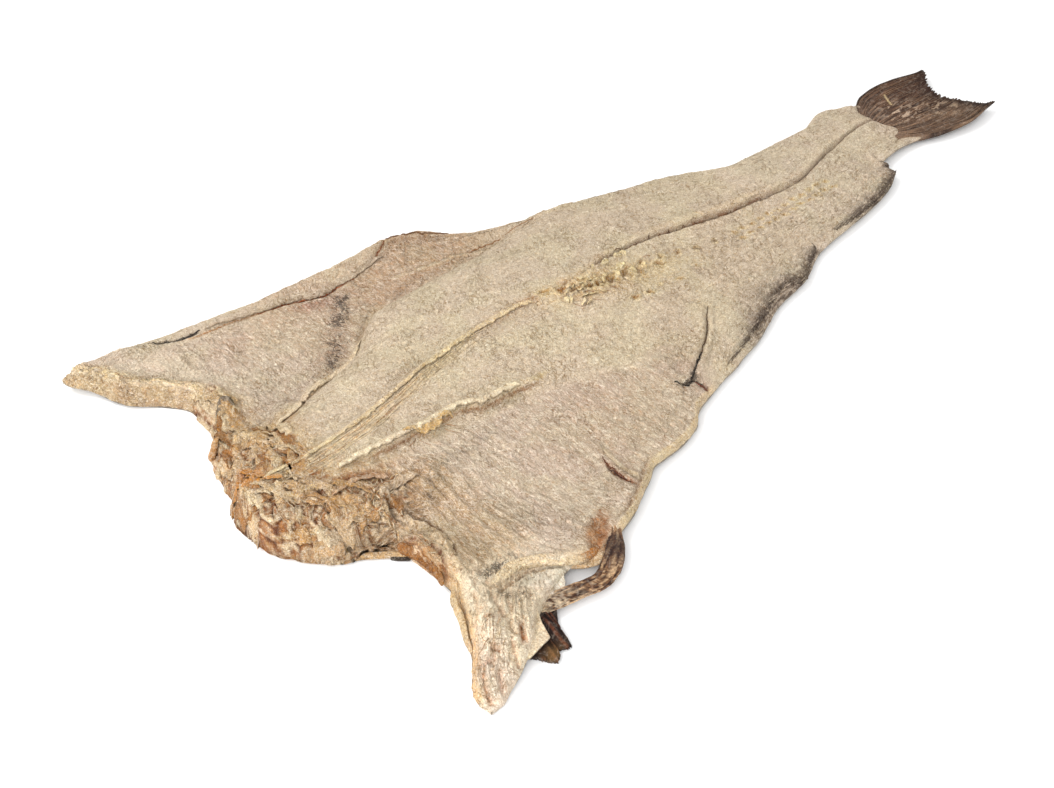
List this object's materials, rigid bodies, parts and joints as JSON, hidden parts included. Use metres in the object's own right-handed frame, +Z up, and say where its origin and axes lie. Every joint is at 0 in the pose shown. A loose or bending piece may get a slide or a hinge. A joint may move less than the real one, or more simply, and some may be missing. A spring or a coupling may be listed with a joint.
{
  "type": "split dried cod",
  "caption": "Whole split cod, salted and dried flat, flesh side up, with its tail, pelvic and pectoral fins: preserved fish for soaking and cooking.",
  "frame": {"origin": "centre of the bounding box's base, on the surface that the fish lies on", "axes": "+X from the cut neck to the tail fin, +Y towards the fish's left flap, +Z up, away from the skin side"},
  "size_m": [0.688, 0.357, 0.0315],
  "materials": {
    "dried_flesh": "dry, matt, fibrous flesh dusted with salt",
    "fish_skin": "dry, dull, grey-brown scaly skin",
    "dried_fin": "dark brown, ribbed, slightly glossy dried fin"
  },
  "bodies": {
    "root": {"split_cod": "dried_flesh"}
  },
  "joints": []
}
